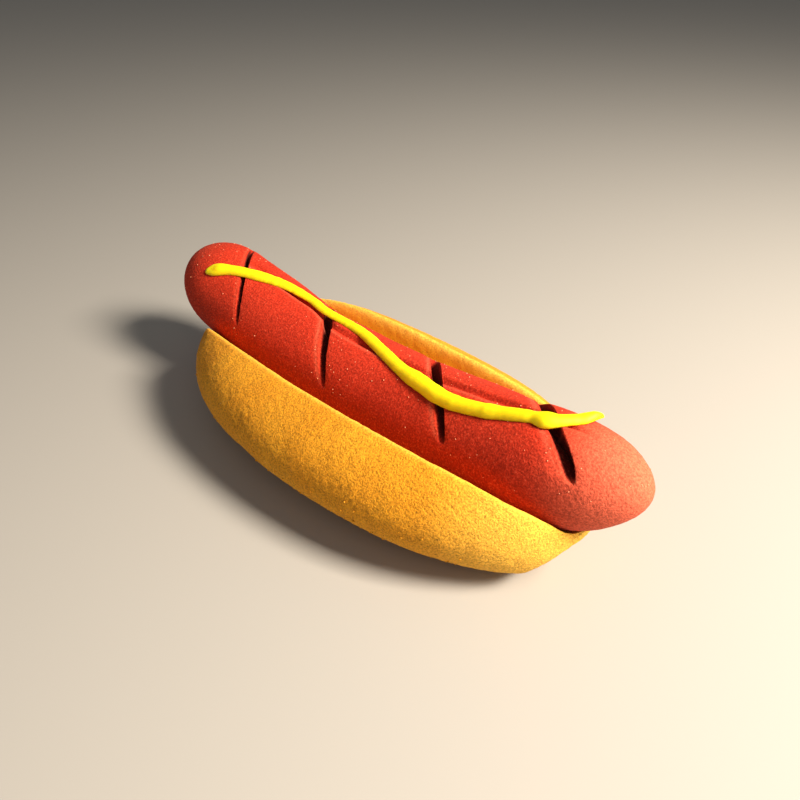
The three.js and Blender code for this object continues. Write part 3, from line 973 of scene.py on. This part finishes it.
        # Painted highlight on the lips and the right end; painted light on the trough walls through the cut
        # colour, weaker on the near wall.
        lip_highlight_side = np.where(y < self.sausage.y, *self.lip_highlight_shares)
        lip_highlights = lip_highlight_side * np.exp(-((inside / self.lip_highlight_width) ** 2)) * over
        end_highlight = self.end_highlight_share * smooth(x, self.end_highlight_from, self.end_highlight_from + self.end_highlight_reach)
        blend = smooth(y - self.sausage.y, -self.cut_blend, self.cut_blend)
        bright = self.near_wall_painted_light + (1 - self.near_wall_painted_light) * blend
        bare = Skin(rings, tips[0], tips[1], painted_highlight=np.maximum(lip_highlights, end_highlight),
                    cut=smooth(inside, *self.cut_band) * bright * over)
        lumps = sum(height * noise(rings, size, Seed.BUN_LUMPS) for height, size in self.lumps)
        nearest = pores(rings, self.pore_spacing, Seed.BUN_PORES)
        holes = -self.pore_depth * (1 - smooth(nearest, *self.pore_rim))
        grain = (self.grain[0] * noise(rings, self.grain[1], Seed.BUN_PORES)
                 + self.fine_grain[0] * noise(rings, self.fine_grain[1], Seed.BUN_LUMPS))
        ends = smooth(1 - np.abs(share), 0.0, self.calm_share)
        calm = smooth(z, 0.0, self.calm_height) * ends * (1 - self.calm_cut * bare.cut)
        return bare.pushed((lumps + holes + grain) * calm)

    def crumb_spots(self, skin: Skin) -> np.ndarray:
        """Which points may carry a crumb.

        Args:
            skin: the bun's surface.

        Returns:
            True where it doesn't face up, above the foot and short of the bun's right end, where its painted
            highlight lies.
        """
        x, z = skin.rings[..., 0], skin.rings[..., 2]
        facing = skin.normals()[..., 2] < self.crumbs_facing
        return facing & (z > self.crumbs_above) & (x < self.crumbs_until_x)

    def build(self, skin: Skin) -> bpy.types.Object:
        """Builds and dresses the bun from its skin."""
        piece = skin.build("bun_foam")
        give(piece, BUN_FOAM.material(), "bun")
        return piece


@dataclass
class Mustard:
    """The mustard: a bead of paste that wanders along the sausage's crest. Millimetres."""

    sausage: Sausage
    line: tuple[tuple[float, float, float], ...] = (
        (-64.3, -45, 1.4), (-60.8, -32.5, 2.1), (-56.0, -20.5, 1.75), (-48.0, -5.5, 1.9),
        (-38.8, 7.7, 1.85), (-28.2, 12.3, 1.6), (-21.5, 8.5, 1.55), (-11.0, 9.0, 1.6),
        (-4.0, 6.0, 1.7), (7.0, -6.0, 1.7), (17.0, -17.0, 1.8), (23.5, -21.2, 2.3),
        (34.0, -28.2, 2.1), (45.0, -25.5, 1.9), (57.5, -16.2, 1.75), (61.3, -13.6, 2.15),
        (63.5, -8.2, 1.7), (65.5, 1.5, 1.6), (67.3, 14.0, 1.7), (68.0, 22.5, 1.8), (68.3, 29.0, 1.8))
    height_ratio: float = 0.8
    gap: float = 0.1
    rows: int = 720
    sides: int = 36
    tip_lengths: tuple[float, float] = (3.4, 4.4)
    tip_height: float = 2.8
    lift: tuple[float, float] = (1.4, 6.5)
    dimple: tuple[float, float, float] = (2.6, 1.6, 0.35)
    wander: tuple[float, float] = (0.07, 3.2)
    fine_wander: tuple[float, float] = (0.04, 1.3)

    def curve(self, shares: np.ndarray) -> np.ndarray:
        """Points of a centripetal Catmull-Rom curve through the line.

        Args:
            shares: places from 0 to 1, even in the curve's own parameter.

        Returns:
            Place along the sausage, angle in radians and half width at each share.
        """
        knots = np.array(self.line, float) * np.array([1.0, math.pi / 180, 1.0])
        padded = np.concatenate([2 * knots[:1] - knots[1:2], knots, 2 * knots[-1:] - knots[-2:-1]])
        segments = len(knots) - 1
        scaled = np.clip(shares * segments, 0, segments - 1e-9)
        index = scaled.astype(int)
        part = scaled - index
        p0, p1, p2, p3 = (padded[index + i] for i in range(4))
        d0, d1, d2 = (np.sqrt(np.linalg.norm(b - a, axis=-1)) for a, b in ((p0, p1), (p1, p2), (p2, p3)))
        d0, d1, d2 = (np.maximum(d, 1e-6)[:, None] for d in (d0, d1, d2))
        start = ((p1 - p0) / d0 - (p2 - p0) / (d0 + d1) + (p2 - p1) / d1) * d1
        end = ((p2 - p1) / d1 - (p3 - p1) / (d1 + d2) + (p3 - p2) / d2) * d1
        t = part[:, None]
        return ((2 * t**3 - 3 * t**2 + 1) * p1 + (t**3 - 2 * t**2 + t) * start
                + (3 * t**2 - 2 * t**3) * p2 + (t**3 - t**2) * end)

    def skin(self) -> Skin:
        """The bead's surface.

        Returns:
            Rings across the curve: flat underneath and a round crown on top. The half width
            swells and shrinks a little, the left tip is round with a dimple in its crown, and
            the right one is drawn out to a point and up off the sausage.
        """
        dense = np.linspace(0, 1, 4000)
        knots = self.curve(dense)
        places = self.sausage.surface(knots[:, 0], knots[:, 1])
        run = np.concatenate([[0], np.cumsum(np.linalg.norm(np.diff(places, axis=0), axis=1))])
        even = np.linspace(0, run[-1], self.rows + 1)
        knots = self.curve(np.interp(even, run, dense))
        along, angle, half = knots[:, 0], knots[:, 1], knots[:, 2]
        foot = self.sausage.surface(along, angle)
        up = self.sausage.outward(along, angle)
        forward = np.gradient(foot, axis=0)
        across = np.cross(forward, up)
        across /= np.linalg.norm(across, axis=-1, keepdims=True)
        round_tip = np.sqrt(1 - (1 - np.clip(even / self.tip_lengths[0], 0, 1)) ** 2)
        full = round_tip * np.clip((run[-1] - even) / self.tip_lengths[1], 0, 1) ** 0.8
        tall = np.sqrt(np.clip(np.minimum(even, run[-1] - even) / self.tip_height, 0, 1))
        wander = (1 + self.wander[0] * noise(foot, self.wander[1], Seed.MUSTARD_WAVES)
                  + self.fine_wander[0] * noise(foot, self.fine_wander[1], Seed.MUSTARD_WAVES))
        crest = self.height_ratio * half * tall * wander
        half = half * full * wander
        turn = np.linspace(0, 2 * np.pi, self.sides, endpoint=False)[None]
        sideways = half[:, None] * np.cos(turn)
        place, reach, depth = self.dimple
        arch = np.maximum(np.sin(turn), 0)
        hollow = 1 - depth * np.exp(-(((even[:, None] - place) / reach) ** 2)) * arch ** 3
        crown = crest[:, None] * arch * hollow
        standoff = self.gap + self.lift[0] * smooth(even - run[-1], -self.lift[1], 0)
        lift = standoff[:, None] - sideways**2 / (2 * self.sausage.radius) + crown
        rings = foot[:, None] + across[:, None] * sideways[..., None] + up[:, None] * lift[..., None]
        return Skin(rings[1:-1], foot[0] + up[0] * standoff[0], foot[-1] + up[-1] * standoff[-1])

    def build(self, skin: Skin) -> bpy.types.Object:
        """Builds and dresses the mustard from its skin."""
        piece = skin.build("mustard_bead")
        give(piece, MUSTARD_PASTE.material(), "mustard")
        return piece


@dataclass
class Crumbs:
    """Loose crumbs of foam that cling to a surface, all in one mesh. Millimetres."""

    name: str
    seed: Seed
    count: int
    sizes: tuple[float, float]
    finish: FoamFinish
    slot: str
    rows: int = 3
    sides: int = 6

    def shape(self) -> tuple[np.ndarray, np.ndarray]:
        """One crumb: a unit ball of a few rings.

        Returns:
            Its points, sin and cos of two angles on a grid with a pole at either end, and its
            triangles.
        """
        slope = np.pi * np.arange(1, self.rows + 1) / (self.rows + 1)
        turn = 2 * np.pi * np.arange(self.sides) / self.sides
        rings = np.stack([np.outer(np.sin(slope), np.cos(turn)), np.outer(np.sin(slope), np.sin(turn)),
                          np.outer(np.cos(slope), np.ones(self.sides))], axis=-1).reshape(-1, 3)
        points = np.concatenate([[[0, 0, 1]], rings, [[0, 0, -1]]])
        here = 1 + np.arange((self.rows - 1) * self.sides)
        beside = 1 + (here - 1) // self.sides * self.sides + here % self.sides
        start = 1 + np.arange(self.sides)
        after = 1 + (np.arange(self.sides) + 1) % self.sides
        end = len(points) - 1
        shift = (self.rows - 1) * self.sides
        triangles = np.concatenate([
            np.stack([np.zeros(self.sides, int), start, after], axis=-1),
            np.stack([here, here + self.sides, beside + self.sides], axis=-1),
            np.stack([here, beside + self.sides, beside], axis=-1),
            np.stack([np.full(self.sides, end), after + shift, start + shift], axis=-1)])
        return points, triangles

    def build(self, skin: Skin, allowed: np.ndarray) -> bpy.types.Object:
        """Scatters the crumbs and dresses them.

        Args:
            skin: the surface that they cling to.
            allowed: which points of its rings may carry one.

        Returns:
            One mesh: at each drawn point, the ball stretched by random sizes, with each of its
            points moved in or out a little, set a fifth of its size above the surface.
        """
        draw = np.random.default_rng(self.seed.value)
        spots = draw.choice(np.flatnonzero(allowed), self.count, replace=False)
        feet = skin.rings.reshape(-1, 3)[spots]
        up = skin.normals().reshape(-1, 3)[spots]
        ball, triangles = self.shape()
        size = draw.uniform(*self.sizes, self.count)[:, None, None]
        stretch = draw.uniform(0.7, 1.3, (self.count, 1, 3))
        rough = draw.uniform(0.75, 1.2, (self.count, len(ball), 1))
        points = feet[:, None] + ball[None] * size / 2 * stretch * rough + up[:, None] * size * 0.2
        faces = (triangles[None] + len(ball) * np.arange(self.count)[:, None, None]).reshape(-1, 3)
        mesh = bpy.data.meshes.new(self.name)
        mesh.from_pydata((points.reshape(-1, 3) * MM).tolist(), [], faces.tolist())
        mesh.update(calc_edges=True)
        piece = add_object(self.name, mesh)
        piece.data.materials.append(self.finish.material())
        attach(piece, "root")
        return piece


@dataclass(frozen=True)
class Lamp:
    """A square area light that faces the object. Degrees, millimetres and watts."""

    name: str
    azimuth: float
    elevation: float
    away: float
    size: float
    power: float
    colour: str


@dataclass
class Studio:
    """A plain pale floor, soft lights and the camera. Millimetres, degrees and watts."""

    target: tuple[float, float, float] = (10.2, 3.9, 19.2)
    azimuth: float = 45.4
    elevation: float = 33.6
    distance: float = 196.3
    lens: float = 33.75
    floor_colour: str = "A4A29E"
    floor_half: float = 4000.0
    sky: float = 0.2
    sky_colour: str = "F4F2EE"
    lamps: tuple[Lamp, ...] = (
        Lamp("key", azimuth=106, elevation=42, away=560, size=167, power=9.2, colour="FFF0DC"),
        Lamp("fill", azimuth=50, elevation=35, away=500, size=320, power=0.3, colour="FFF4E8"))

    def away(self, azimuth: float, elevation: float) -> Vector:
        """The unit vector from the object towards a viewer at these angles."""
        a, e = math.radians(azimuth), math.radians(elevation)
        return Vector((math.sin(a) * math.cos(e), -math.cos(a) * math.cos(e), math.sin(e)))

    def camera(self) -> None:
        """Sets the camera at the photograph's angle."""
        data = bpy.data.cameras.new("camera")
        data.lens = self.lens
        data.sensor_width = 36.0
        data.clip_start = 0.01
        back = self.away(self.azimuth, self.elevation)
        camera = add_object("camera", data)
        camera.location = Vector(self.target) * MM + back * self.distance * MM
        camera.rotation_euler = back.to_track_quat("Z", "Y").to_euler()
        bpy.context.scene.camera = camera

    def light(self, lamp: Lamp) -> None:
        """Adds one lamp.

        Args:
            lamp: where it stands, how large and bright it is, and its colour.
        """
        data = bpy.data.lights.new(lamp.name, "AREA")
        data.size = lamp.size * MM
        data.energy = lamp.power
        data.color = linear(lamp.colour)[:3]
        back = self.away(lamp.azimuth, lamp.elevation)
        light = add_object(lamp.name, data)
        light.location = Vector(self.target) * MM + back * lamp.away * MM
        light.rotation_euler = back.to_track_quat("Z", "Y").to_euler()

    def build(self) -> None:
        """Makes the floor, the lights, the sky and the camera."""
        half = self.floor_half * MM
        mesh = bpy.data.meshes.new("floor")
        corners = [(-half, -half, 0), (half, -half, 0), (half, half, 0), (-half, half, 0)]
        mesh.from_pydata(corners, [], [(0, 1, 2, 3)])
        floor = add_object("floor", mesh)
        material = bpy.data.materials.new("floor_card_matt")
        material.use_nodes = True
        shader = material.node_tree.nodes["Principled BSDF"]
        shader.inputs["Base Color"].default_value = linear(self.floor_colour)
        shader.inputs["Roughness"].default_value = 0.9
        floor.data.materials.append(material)
        world = bpy.data.worlds.new("studio")
        world.use_nodes = True
        background = world.node_tree.nodes["Background"]
        background.inputs["Color"].default_value = linear(self.sky_colour)
        background.inputs["Strength"].default_value = self.sky
        bpy.context.scene.world = world
        bpy.context.scene.view_settings.view_transform = "Standard"
        for lamp in self.lamps:
            self.light(lamp)
        self.camera()


def main() -> None:
    """Builds every piece in order, logs their face counts and sets up the studio."""
    logging.basicConfig(level=logging.INFO, format="%(name)s: %(message)s")
    sausage = Sausage()
    bun = Bun(sausage)
    mustard = Mustard(sausage)
    bun_skin, sausage_skin, mustard_skin = bun.skin(), sausage.skin(), mustard.skin()
    edge, top = bun.crumb_spots(bun_skin), sausage.speck_spots(sausage_skin)
    # Painted shade: the sausage's side in the gap beside the bun takes part of the dark cut colour.
    shade = bun.painted_gap_shade * bun.sheltered(sausage_skin.rings)
    sausage_skin.cut = np.maximum(sausage_skin.cut, shade)
    pieces = (
        bun.build(bun_skin), sausage.build(sausage_skin), mustard.build(mustard_skin),
        Crumbs("bun_crumbs", Seed.BUN_CRUMBS, 420, (0.25, 0.6), BUN_FOAM, "bun_foam").build(bun_skin, edge),
        Crumbs("pale_specks", Seed.SPECKS, 230, (0.14, 0.32), PALE_FOAM, "bun_foam").build(sausage_skin, top))
    for piece in pieces:
        LOG.info("%s: %d faces", piece.name, len(piece.data.polygons))
    Studio().build()


if __name__ == "__main__":
    main()
